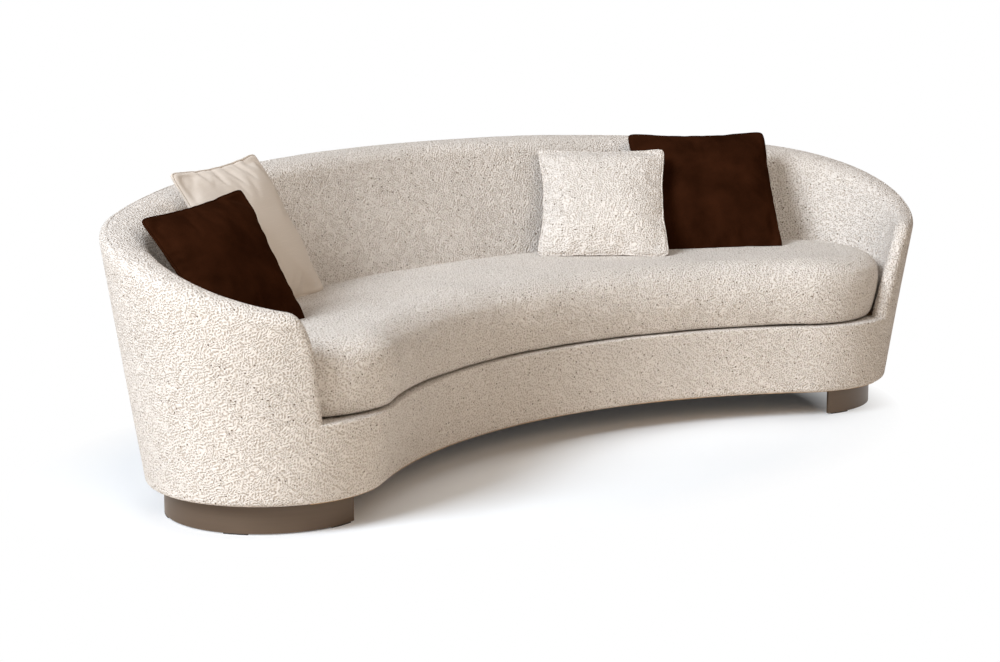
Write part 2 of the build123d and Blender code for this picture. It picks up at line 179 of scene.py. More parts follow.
class SofaCloth(bpy.types.PropertyGroup):
    """Sizes of the upholstery."""

    spacing: length("Mesh spacing", "Distance between points of the cloth", 0.014)
    rim_roll: length("Rim roll", "Depth of the round along the rim", 0.036)
    corner_reach: length("Corner reach", "Round of an arm's top corner, along the arm", 0.042)
    corner_drop: length("Corner drop", "Round of an arm's top corner, down its edge", 0.075)
    hem_round: length("Hem round", "Round of the lower hem", 0.012)
    hem_return: length("Hem return", "Cloth turned under the base", 0.032)
    ledge_round: length("Ledge round", "Round of the base's front edge", 0.006)
    ledge_drop: length("Ledge drop", "Front edge of the base below the seat deck", 0.006)
    ledge_return: length("Ledge return", "Cloth turned over the front edge of the base", 0.09)
    cloth_thickness: length("Cloth", "Thickness of the upholstery cloth", 0.004)
    skin_depth: length("Skin depth", "Plywood skin below the face of the cloth", 0.0075)
    skin_thickness: length("Skin", "Thickness of the plywood skin", 0.005)
    waviness: length("Waviness", "How far the stretched cloth wanders", 0.0012)
    seam_angle: angle("Seam angle", "Place of the seam on the round of the edge, from its outside", 58)
    seam_depth: length("Seam depth", "How far the cloth is drawn in along the seam", 0.0007)
    welt_radius: length("Welt radius", "Round of the sewn edge along the arms and rim", 0.0012)
    stitch_spacing: length("Stitch spacing", "Distance between stitches", 0.009)
    cushion_spacing: length("Cushion mesh", "Mesh size of the seat cushion while it fills", 0.016)
    cushion_gap: length("Cushion gap", "Room between the cushion and the walls", 0.005)
    pillow_thickness: length("Pillow thickness", "Thickness of a filled pillow", 0.11)
    pillow_corner: FloatProperty(
        name="Pillow corner", description="Share cut off by its round corners", default=0.045
    )
    pillow_cells: IntProperty(name="Pillow cells", description="Mesh cells along a side", default=44)
    piping_radius: length("Piping radius", "Round of the piping on the pillows", 0.0032)


class SofaColours(bpy.types.PropertyGroup):
    """Colours of the finishes, linear."""

    loop_pale: colour("Loop", "Raised loops of the cloth", (0.83, 0.775, 0.72))
    # Painted shade: the ground between the loops is coloured darker and warmer than the loops, standing in
    # for the shade that falls between them
    painted_loop_shade: colour("Between loops", "Ground between the loops", (0.52, 0.445, 0.375))
    # Painted shade: the pin holes are coloured near black, standing in for the shade inside the gaps
    pinhole_shade: colour("Pin hole", "Gaps in the looped cloth", (0.15, 0.105, 0.07))
    velvet: colour("Velvet", "Brown pile", (0.025, 0.0078, 0.0032))
    velvet_sheen: colour("Velvet sheen", "Brushed pile seen flat", (0.25, 0.10, 0.05))
    linen: colour("Linen", "Smooth cream weave", (0.74, 0.66, 0.58))
    bronze: colour("Bronze", "Satin plinths", (0.118, 0.082, 0.056))
    plywood: colour("Plywood", "Raw plywood", (0.52, 0.34, 0.18))
    lining: colour("Lining", "Dark lining under the seat", (0.02, 0.02, 0.021))
    webbing: colour("Webbing", "Elastic straps", (0.05, 0.045, 0.04))
    steel: colour("Steel", "Zinc plated screws and staples", (0.42, 0.43, 0.45))
    felt: colour("Felt", "Floor glides", (0.03, 0.027, 0.024))
    floor_bounce: colour("Floor bounce", "Light that the studio floor throws back", (0.84, 0.77, 0.69))
    floor: colour("Floor", "Studio floor", (0.94, 0.965, 0.985))


class SofaStudio(bpy.types.PropertyGroup):
    """Camera and lights."""

    camera_place: FloatVectorProperty(
        name="Camera", description="Place of the camera", default=(-4.2400, -4.6831, 1.4869), unit="LENGTH"
    )
    camera_heading: angle("Heading", "Turn of the camera to the right of straight ahead", 42.02)
    camera_dip: angle("Dip", "Fall of the camera's line of sight", 10.73)
    lens: FloatProperty(name="Lens", description="Focal length in millimetres", default=85.94)
    key_power: FloatProperty(
        name="Key", description="Large soft light from the left", default=1660, unit="POWER"
    )
    front_power: FloatProperty(
        name="Front", description="Soft fill from the front", default=205, unit="POWER"
    )
    front_tint: colour("Front tint", "Colour of the soft fill", (1.0, 0.88, 0.75))
    top_power: FloatProperty(name="Top", description="Soft light from above", default=45, unit="POWER")
    key_tint: colour("Key tint", "Colour of the large light", (0.86, 0.925, 1.0))
    ambient: FloatProperty(name="Ambient", description="Even light from all round", default=0.135)
    ambient_tint: colour("Ambient tint", "Colour of the even light", (1.0, 0.74, 0.51))


class Crescent:
    """Walls of the crescent, worked out from its plan."""

    def __init__(self, plan):
        self.plan = plan
        self.flare = tan(plan.flare_angle)
        self.centre_y = REAR_PLINTH_FACE - plan.mid_radius - plan.plinth_radius
        rear = self.centre_y + plan.mid_radius + self.outer_half(plan.back_height)
        self.rim_centre, self.rim_radius = circle_through(
            (rear, plan.back_height),
            (rear - plan.rim_middle_setback, plan.back_height - plan.rim_middle_drop),
            (rear - plan.rim_front_setback, plan.back_height - plan.rim_front_drop),
        )

    def outer_half(self, z):
        """Half depth of the flared outside at a height."""
        return self.plan.hem_half_depth + self.flare * (z - HEM_HEIGHT)

    def inner_half(self, headings, z):
        """Distance from the middle line to the wall of the seat well, along a heading and at a height."""
        plan = self.plan
        share = (z - plan.well_floor) / (plan.back_height - plan.well_floor)
        back = plan.back_thickness_base + share * (plan.back_thickness_rim - plan.back_thickness_base)
        shift = (back - plan.front_lip) / 2
        half = self.outer_half(z) - (back + plan.front_lip) / 2
        turn = np.maximum(np.abs(headings) - plan.half_angle, 0)
        return np.sqrt(half**2 - (shift * np.sin(turn)) ** 2) - shift * np.cos(turn)

    def wall_gap(self, headings, z):
        """Thickness of the wall along a heading and at a height."""
        return self.outer_half(z) - self.inner_half(headings, z)

    def well(self, z):
        """Middle radius and half depth of the seat well at a height."""
        gap = self.wall_gap(0.0, z)
        lip = self.plan.front_lip
        return self.plan.mid_radius + (lip - gap) / 2, self.outer_half(z) - (lip + gap) / 2

    def rim_height(self, y):
        """Height of the rim line at a depth."""
        return self.rim_centre[1] + np.sqrt(self.rim_radius**2 - (y - self.rim_centre[0]) ** 2)

    def place(self, headings, fronts, radius, half, z):
        """Points of a crescent outline at a heading: half deep about a middle line of a radius."""
        along = np.clip(headings, -self.plan.half_angle, self.plan.half_angle)
        along = np.where(fronts, headings, along)
        facing = np.where(fronts, headings + pi, headings)
        x = radius * np.sin(along) + half * np.sin(facing)
        y = self.centre_y + radius * np.cos(along) + half * np.cos(facing)
        return np.stack(np.broadcast_arrays(x, y, z), axis=-1)

    def outside(self, headings, fronts, z, inset=0.0):
        """Points of the flared outside at a height."""
        return self.place(headings, fronts, self.plan.mid_radius, self.outer_half(z) - inset, z)

    def inside(self, headings, z):
        """Points of the wall of the seat well at a height."""
        return self.place(headings, False, self.plan.mid_radius, self.inner_half(headings, z), z)

    def outline(self, spacing):
        """Headings once round a crescent, with whether each is on its hollow front."""
        half = self.plan.half_angle
        back = spaced(half, -half, self.plan.mid_radius, spacing)
        tip = spaced(half, half + pi, self.plan.hem_half_depth, spacing)
        headings = np.concatenate((-back, tip, back, tip - 2 * half - pi))
        fronts = np.zeros(len(headings), bool)
        first = len(back) + len(tip)
        fronts[first:first + len(back)] = True
        return headings, fronts

    def rim_at(self, wall):
        """Height at which a wall meets the rim line, for a wall that gives its points at a height."""
        z = self.rim_height(wall(self.plan.back_height)[:, 1])
        for _ in range(12):
            z = self.rim_height(wall(z)[:, 1])
        return z

    def crescent_size(self, radius, half):
        """Width, depth and area of a flat crescent."""
        bend = self.plan.half_angle
        width = 2 * (radius * sin(bend) + half)
        depth = radius * (1 - cos(bend)) + 2 * half
        return width, depth, 4 * bend * radius * half + pi * half**2


def circle_through(a, b, c):
    """Centre and radius of the circle through three points."""
    (ax, ay), (bx, by), (cx, cy) = a, b, c
    twice = 2 * (ax * (by - cy) + bx * (cy - ay) + cx * (ay - by))
    squares = [x * x + y * y for x, y in (a, b, c)]
    x = (squares[0] * (by - cy) + squares[1] * (cy - ay) + squares[2] * (ay - by)) / twice
    y = (squares[0] * (cx - bx) + squares[1] * (ax - cx) + squares[2] * (bx - ax)) / twice
    return (x, y), sqrt((ax - x) ** 2 + (ay - y) ** 2)


def spaced(start, end, radius, spacing):
    """Headings from start to just before end, about a spacing apart on a radius."""
    return np.linspace(start, end, max(3, ceil(abs(end - start) * radius / spacing)), endpoint=False)


def turn_faces(work, facing):
    """Turn all faces of a mesh out, in, up or down."""
    bmesh.ops.recalc_face_normals(work, faces=work.faces)
    middle = sum((v.co for v in work.verts), Vector()) / len(work.verts)
    if facing in ("up", "down"):
        total = sum(face.normal.z * face.calc_area() for face in work.faces)
    else:
        total = sum(
            face.normal.dot(face.calc_center_median() - middle) * face.calc_area() for face in work.faces
        )
    if (total > 0) != (facing in ("up", "out")):
        bmesh.ops.reverse_faces(work, faces=work.faces)


def mesh_from_patches(name, patches, facing):
    """One mesh from point grids, joined where they meet. A patch is (points, closed on its second axis)."""
    vertices = []
    faces = []
    for points, closed in patches:
        rows, columns = points.shape[:2]
        first = len(vertices)
        vertices += [tuple(p) for p in points.reshape(-1, 3)]
        for i in range(rows - 1):
            for j in range(columns if closed else columns - 1):
                k = (j + 1) % columns
                corners = (i * columns + j, i * columns + k, (i + 1) * columns + k, (i + 1) * columns + j)
                faces.append([first + c for c in corners])
    mesh = bpy.data.meshes.new(name)
    mesh.from_pydata(vertices, [], faces)
    work = bmesh.new()
    work.from_mesh(mesh)
    bmesh.ops.remove_doubles(work, verts=work.verts, dist=2e-5)
    bmesh.ops.dissolve_degenerate(work, edges=work.edges, dist=1e-6)
    turn_faces(work, facing)
    work.to_mesh(mesh)
    work.free()
    mesh.shade_smooth()
    return mesh


def new_piece(name, mesh, body, material=None, replaces=()):
    """Put a finished mesh in the scene and let it ride on a body."""
    piece = bpy.data.objects.new(name, mesh)
    bpy.context.scene.collection.objects.link(piece)
    if material:
        mesh.materials.clear()
        mesh.materials.append(material)
    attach(piece, body)
    if replaces:
        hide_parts(*replaces)
    return piece


def finished_mesh(piece, name):
    """Plain mesh of an object with its modifiers applied."""
    bpy.context.view_layer.update()
    graph = bpy.context.evaluated_depsgraph_get()
    mesh = bpy.data.meshes.new_from_object(piece.evaluated_get(graph))
    mesh.name = name
    return mesh


def scratch_object(name, mesh):
    """Object that is only used to work out a mesh."""
    helper = bpy.data.objects.new(name, mesh)
    bpy.context.scene.collection.objects.link(helper)
    return helper


def set_points(mesh, points):
    """Move a mesh's points."""
    mesh.vertices.foreach_set("co", np.asarray(points, np.float32).ravel())
    mesh.update()


def wander(mesh, amount, size, seed):
    """Let a stretched cloth wander a little along its normals."""
    shift = Vector((seed, 2 * seed, 3 * seed))
    set_points(mesh, [v.co + v.normal * amount * noise.noise(v.co / size + shift) for v in mesh.vertices])


def feed(tree, socket, value):
    """Set a socket of a node tree to a value, or link it."""
    if isinstance(value, bpy.types.NodeSocket):
        tree.links.new(value, socket)
    elif socket.type == "RGBA" and len(value) == 3:
        socket.default_value = (*value, 1)
    else:
        socket.default_value = value


def wire(tree, kind, settings=None, **inputs):
    """Add a node to a tree and feed its inputs, by name with _ for a space."""
    made = tree.nodes.new(kind)
    for key, value in (settings or {}).items():
        setattr(made, key, value)
    for key, value in inputs.items():
        feed(tree, made.inputs[key.replace("_", " ")], value)
    return made


def seen_rays(tree):
    """1 for rays that the camera or a reflection sees, 0 for those that light the sofa."""
    rays = wire(tree, "ShaderNodeLightPath").outputs
    seen = rays["Is Camera Ray"]
    for kind in ("Glossy", "Transmission"):
        most = wire(tree, "ShaderNodeMath", {"operation": "MAXIMUM"})
        feed(tree, most.inputs[0], seen)
        feed(tree, most.inputs[1], rays[f"Is {kind} Ray"])
        seen = most.outputs[0]
    return seen


def show_blend(tree, output, share, first, second):
    """Show two shaders mixed."""
    blend = wire(tree, "ShaderNodeMixShader", Fac=share)
    feed(tree, blend.inputs[1], first.outputs[0])
    feed(tree, blend.inputs[2], second.outputs[0])
    feed(tree, tree.nodes[output].inputs["Surface"], blend.outputs[0])


class Finish:
    """A procedural material under construction."""

    def __init__(self, name):
        self.material = bpy.data.materials.new(name)
        self.material.use_nodes = True
        self.tree = self.material.node_tree
        self.shader = self.tree.nodes["Principled BSDF"]

    def node(self, kind, settings=None, **inputs):
        """Add a shader node."""
        return wire(self.tree, f"ShaderNode{kind}", settings, **inputs)

    def feed(self, socket, value):
        """Set a socket to a value, or link it."""
        feed(self.tree, socket, value)

    def maths(self, operation, first, second=0.0, third=0.0):
        """One sum on numbers."""
        made = self.node("Math", {"operation": operation})
        for socket, value in zip(made.inputs, (first, second, third)):
            self.feed(socket, value)
        return made.outputs[0]

    def between(self, value, low, high, start=0.0, end=1.0):
        """A number carried from one range to another, kept inside it."""
        names = ("Value", "From Min", "From Max", "To Min", "To Max")
        made = self.node("MapRange", {"clamp": True})
        for key, number in zip(names, (value, low, high, start, end)):
            self.feed(made.inputs[key], number)
        return made.outputs["Result"]

    def mixed(self, share, first, second, blend="MIX"):
        """Two colours mixed."""
        made = self.node("Mix", {"data_type": "RGBA", "blend_type": blend})
        for socket, value in zip((made.inputs[0], made.inputs[6], made.inputs[7]), (share, first, second)):
            self.feed(socket, value)
        return made.outputs[2]

    def shaded(self, tint, shade):
        """A colour made darker or lighter by a number."""
        grey = self.node("CombineColor", Red=shade, Green=shade, Blue=shade).outputs[0]
        return self.mixed(1.0, tint, grey, "MULTIPLY")

    def weave(self, where, threads, distortion):
        """Crossing threads, as a number."""
        sizes = {"Vector": where, "Scale": threads, "Distortion": distortion, "Detail": 2.0}
        ways = [self.node("TexWave", {"bands_direction": way}, **sizes).outputs["Fac"] for way in "XY"]
        return self.maths("MAXIMUM", *ways)

    def place(self):
        """Coordinates in the sofa's own frame, in metres."""
        return self.node("TexCoord").outputs["Object"]

    def noise(self, where, scale, detail=2.0, roughness=0.5):
        """Cloudy noise, as a node."""
        return self.node("TexNoise", Vector=where, Scale=scale, Detail=detail, Roughness=roughness)

    def bump(self, height, strength, distance):
        """Raise the surface by a height."""
        made = self.node("Bump", Height=height, Strength=strength, Distance=distance)
        self.feed(self.shader.inputs["Normal"], made.outputs["Normal"])

    def surface(self, **inputs):
        """Set the shader's own sockets."""
        for key, value in inputs.items():
            self.feed(self.shader.inputs[key.replace("_", " ")], value)


def boucle_finish(colours):
    """Off-white looped cloth: squiggling raised loops, with painted shade on the ground between them and in
    scattered pin holes.
    """
    cloth = Finish("looped_cloth")
    where = cloth.place()
    drift = cloth.noise(where, 42.0, 1.0)
    pushed = cloth.node("VectorMath", {"operation": "MULTIPLY_ADD"})
    cloth.feed(pushed.inputs[0], drift.outputs["Color"])
    cloth.feed(pushed.inputs[1], (0.02, 0.02, 0.02))
    cloth.feed(pushed.inputs[2], where)
    warped = pushed.outputs[0]
    waves = 0.0
    for i in range(LOOP_WAVES):
        rise = (i + 0.5) / LOOP_WAVES
        flat = sqrt(1 - rise**2)
        along = Vector((flat * cos(LOOP_TURN * i), flat * sin(LOOP_TURN * i), rise)) * 2 * pi / LOOP_LENGTH
        phase = cloth.node("VectorMath", {"operation": "DOT_PRODUCT"})
        cloth.feed(phase.inputs[0], warped)
        cloth.feed(phase.inputs[1], along)
        waves = cloth.maths("ADD", cloth.maths("SINE", phase.outputs["Value"]), waves)
    loops = cloth.between(waves, -2.5, 1.0)
    fuzz = cloth.noise(where, 620.0).outputs[0]
    cells = cloth.node("TexVoronoi", Vector=where, Scale=54.0)
    hole = cloth.between(cells.outputs["Distance"], 0.075, 0.135, 1.0, 0.0)
    whole = cloth.maths("SUBTRACT", 1.0, hole)
    height = cloth.maths("MULTIPLY", cloth.maths("MULTIPLY_ADD", fuzz, 0.5, loops), whole)
    broad = cloth.between(cloth.noise(where, 5.0).outputs[0], 0.3, 0.7, 0.95, 1.02)
    # Painted shade: where the loops' relief is low, the colour goes to the darker, warmer shade between the
    # loops
    tone = cloth.mixed(cloth.between(height, 0.1, 1.0), colours.painted_loop_shade, colours.loop_pale)
    # Painted shade in the pin holes, laid over the loops' colour and its random mottling
    tone = cloth.mixed(hole, cloth.shaded(tone, broad), colours.pinhole_shade)
    cloth.bump(height, 0.85, 0.003)
    cloth.surface(Base_Color=tone, Roughness=0.92, Sheen_Weight=0.1, Sheen_Roughness=0.5)
    cloth.surface(Specular_IOR_Level=0.2)
    return cloth.material


def velvet_finish(colours):
    """Dark brown pile, brushed a little lighter here and there."""
    cloth = Finish("brown_velvet")
    where = cloth.place()
    brushed = cloth.between(cloth.noise(where, 9.0, 3.0, 0.55).outputs[0], 0.35, 0.7, 0.75, 1.45)
    pile = cloth.noise(where, 900.0).outputs[0]
    shade = cloth.maths("MULTIPLY", brushed, cloth.between(pile, 0.3, 0.7, 0.8, 1.2))
    cloth.bump(pile, 0.25, 0.0008)
    cloth.surface(Base_Color=cloth.shaded(colours.velvet, shade), Roughness=0.85)
    cloth.surface(Sheen_Weight=0.10, Sheen_Roughness=0.3, Sheen_Tint=colours.velvet_sheen)
    cloth.surface(Specular_IOR_Level=0.0)
    return cloth.material


def linen_finish(colours):
    """Smooth cream weave with fine crossing threads and a few thicker ones, laid along the pillow."""
    cloth = Finish("cream_linen")
    flat = cloth.node("UVMap").outputs["UV"]
    weave = cloth.weave(flat, 190.0, 1.2)
    stretched = cloth.node("Mapping", Vector=flat, Scale=(9.0, 240.0, 1.0)).outputs[0]
    slubs = cloth.between(cloth.noise(stretched, 1.0).outputs[0], 0.55, 0.75)
    shade = cloth.maths("MULTIPLY_ADD", weave, 0.10, cloth.maths("MULTIPLY_ADD", slubs, 0.05, 0.90))
    cloth.bump(cloth.maths("MULTIPLY_ADD", slubs, 0.6, weave), 0.18, 0.0006)
    cloth.surface(Base_Color=cloth.shaded(colours.linen, shade), Roughness=0.88)
    cloth.surface(Sheen_Weight=0.08, Specular_IOR_Level=0.2)
    return cloth.material


def bronze_finish(colours):
    """Satin dark bronze, brushed along its length."""
    metal = Finish("satin_bronze")
    where = metal.place()
    drawn = metal.node("Mapping", Vector=where, Scale=(6.0, 6.0, 900.0)).outputs[0]
    grain = metal.noise(drawn, 1.0, 3.0).outputs[0]
    clouds = metal.noise(where, 7.0, 3.0).outputs[0]
    shade = metal.maths("MULTIPLY_ADD", grain, 0.22, metal.maths("MULTIPLY_ADD", clouds, 0.2, 0.79))
    metal.bump(grain, 0.05, 0.0004)
    metal.surface(Base_Color=metal.shaded(colours.bronze, shade), Metallic=0.4)
    metal.surface(Roughness=metal.between(clouds, 0.3, 0.7, 0.36, 0.46))
    return metal.material


def plywood_finish(colours):
    """Raw plywood with long grain."""
    wood = Finish("raw_plywood")
    where = wood.place()
    drawn = wood.node("Mapping", Vector=where, Scale=(3.0, 70.0, 30.0)).outputs[0]
    grain = wood.noise(drawn, 1.0, 4.0, 0.6).outputs[0]
    shade = wood.between(grain, 0.25, 0.75, 0.7, 1.15)
    wood.bump(grain, 0.2, 0.0006)
    wood.surface(Base_Color=wood.shaded(colours.plywood, shade), Roughness=0.7)
    return wood.material


def woven_finish(name, tint, threads):
    """Plain dark weave for lining, webbing and felt."""
    cloth = Finish(name)
    where = cloth.place()
    weave = cloth.weave(where, threads, 1.5)
    specks = cloth.noise(where, 400.0).outputs[0]
    shade = cloth.maths("MULTIPLY_ADD", weave, 0.35, cloth.maths("MULTIPLY_ADD", specks, 0.5, 0.5))
    cloth.bump(weave, 0.25, 0.0006)
    cloth.surface(Base_Color=cloth.shaded(tint, shade), Roughness=0.9)
    return cloth.material


def steel_finish(colours):
    """Zinc plated steel."""
    metal = Finish("plated_steel")
    clouds = metal.noise(metal.place(), 220.0, 3.0).outputs[0]
    shade = metal.between(clouds, 0.3, 0.7, 0.85, 1.1)
    metal.surface(Base_Color=metal.shaded(colours.steel, shade), Metallic=1.0)
    metal.surface(Roughness=metal.between(clouds, 0.3, 0.7, 0.28, 0.42))
    return metal.material


def floor_finish(colours):
    """Pale studio floor that keeps the sofa's shadow, lightened near the sofa by a faint painted glow, and is
    white to the camera further out.
    """
    paper = Finish("studio_floor")
    where = paper.place()
    grain = paper.between(paper.noise(where, 3.0).outputs[0], 0.3, 0.7, 0.99, 1.0)
    camera = paper.node("LightPath").outputs["Is Camera Ray"]
    tint = paper.mixed(camera, colours.floor_bounce, colours.floor)
    paper.surface(Base_Color=paper.shaded(tint, grain), Roughness=0.9, Specular_IOR_Level=0.1)
    oval = paper.node("Mapping", Vector=where, Location=(0.05, 0.0, 0.0), Scale=(0.74, 1.14, 1.0)).outputs[0]
    distance = paper.node("VectorMath", {"operation": "LENGTH"}, Vector=oval).outputs["Value"]
    # Painted light: near the sofa, 0.03 of white glow is still shown to the camera, lightening the sofa's
    # shadow on the floor; further out the share rises to a plain white floor
    far = paper.between(distance, 0.80, 1.02, 0.03)
    glow = paper.node("Emission", Color=(1.0, 1.0, 1.0), Strength=1.0)
    share = paper.maths("MULTIPLY", seen_rays(paper.tree), far)
    show_blend(paper.tree, "Material Output", share, paper.shader, glow)
    return paper.material


FINISHES = {
    "boucle": boucle_finish,
    "velvet": velvet_finish,
    "linen": linen_finish,
    "bronze": bronze_finish,
    "plywood": plywood_finish,
    "steel": steel_finish,
    "lining": lambda colours: woven_finish("black_lining", colours.lining, 420.0),
    "webbing": lambda colours: woven_finish("elastic_webbing", colours.webbing, 150.0),
    "felt": lambda colours: woven_finish("grey_felt", colours.felt, 90.0),
    "floor": floor_finish,
}
made_finishes = {}


def finish(name):
    """A finish by name, made once."""
    if name not in made_finishes:
        made_finishes[name] = FINISHES[name](bpy.context.scene.sofa_colours)
    return made_finishes[name]


def node_tree(name, sizes):
    """An empty geometry tree with a geometry in and out and named sizes."""
    tree = bpy.data.node_groups.new(name, "GeometryNodeTree")
    tree.interface.new_socket("Geometry", in_out="INPUT", socket_type="NodeSocketGeometry")
    tree.interface.new_socket("Geometry", in_out="OUTPUT", socket_type="NodeSocketGeometry")
    for size, default in sizes.items():
        socket = tree.interface.new_socket(size, in_out="INPUT", socket_type="NodeSocketFloat")
        socket.default_value = default
    return tree


def spots_along(tree, given, axis):
    """The tree's line as a curve, points at every spacing along it, and their turn along an axis."""
    line = wire(tree, "GeometryNodeMeshToCurve", Mesh=given["Geometry"]).outputs[0]
    spots = wire(tree, "GeometryNodeResampleCurve", {"mode": "LENGTH"}, Curve=line, Length=given["Spacing"])
    tangent = wire(tree, "GeometryNodeInputTangent").outputs[0]
    turn = wire(tree, "FunctionNodeAlignRotationToVector", {"axis": axis}, Vector=tangent)
    return line, {"Points": spots.outputs[0], "Rotation": turn.outputs[0]}


def closed_tree(tree, geometry, material):
    """End a tree with real geometry in a material."""
    real = wire(tree, "GeometryNodeRealizeInstances", Geometry=geometry).outputs[0]
    done = wire(tree, "GeometryNodeSetMaterial", Geometry=real, Material=material).outputs[0]
    wire(tree, "NodeGroupOutput", Geometry=done)
    return tree


def piping_tree(material):
    """Tree that turns a line of points into a round cord with a stitch at every spacing."""
    tree = node_tree("sewn_piping", {"Radius": 0.003, "Spacing": 0.009, "Stitch": 0.0006, "Rise": 1.0})
    given = tree.nodes.new("NodeGroupInput").outputs
    line, spots = spots_along(tree, given, "Z")
    round_cut = wire(
        tree, "GeometryNodeCurvePrimitiveCircle", Resolution=8, Radius=given["Radius"]
    ).outputs[0]
    cord = wire(
        tree, "GeometryNodeCurveToMesh", Curve=line, Profile_Curve=round_cut, Fill_Caps=True
    ).outputs[0]
    smooth = wire(tree, "GeometryNodeSetShadeSmooth", Geometry=cord).outputs[0]
    depth = wire(tree, "ShaderNodeMath", {"operation": "MULTIPLY"})
    feed(tree, depth.inputs[0], given["Spacing"])
    feed(tree, depth.inputs[1], STITCH_SHARE)
    sizes = {"Radius": given["Stitch"], "Depth": depth.outputs[0]}
    thread = wire(tree, "GeometryNodeMeshCylinder", Vertices=5, **sizes).outputs["Mesh"]
    rise = wire(tree, "ShaderNodeCombineXYZ", X=given["Rise"]).outputs[0]
    lifted = wire(tree, "GeometryNodeTransform", Geometry=thread, Translation=rise).outputs[0]
    stitches = wire(tree, "GeometryNodeInstanceOnPoints", Instance=lifted, **spots).outputs[0]
    both = wire(tree, "GeometryNodeJoinGeometry")
    feed(tree, both.inputs[0], smooth)
    feed(tree, both.inputs[0], stitches)
    return closed_tree(tree, both.outputs[0], material)


def staple_tree(material):
    """Tree that drives a staple at every spacing along a line of points."""
    tree = node_tree("staples", {"Spacing": 0.04, "Width": 0.011, "Wire": 0.0011})
    given = tree.nodes.new("NodeGroupInput").outputs
    spots = spots_along(tree, given, "X")[1]
    size = wire(tree, "ShaderNodeCombineXYZ", X=given["Width"], Y=given["Wire"], Z=given["Wire"]).outputs[0]
    crown = wire(tree, "GeometryNodeMeshCube", Size=size).outputs["Mesh"]
    driven = wire(tree, "GeometryNodeInstanceOnPoints", Instance=crown, **spots).outputs[0]
    return closed_tree(tree, driven, material)


def along_line(name, points, closed, tree, sizes):
    """Mesh that a geometry tree makes along a line of points."""
    count = len(points)
    edges = [(i, (i + 1) % count) for i in range(count if closed else count - 1)]
    mesh = bpy.data.meshes.new(f"{name}_line")
    mesh.from_pydata([tuple(p) for p in points], edges, [])
    helper = scratch_object(f"{name}_line", mesh)
    modifier = helper.modifiers.new("tree", "NODES")
    modifier.node_group = tree
    for item in tree.interface.items_tree:
        if item.in_out == "INPUT" and item.name in sizes:
            modifier[item.identifier] = sizes[item.name]
    made = finished_mesh(helper, name)
    bpy.data.objects.remove(helper)
    return made


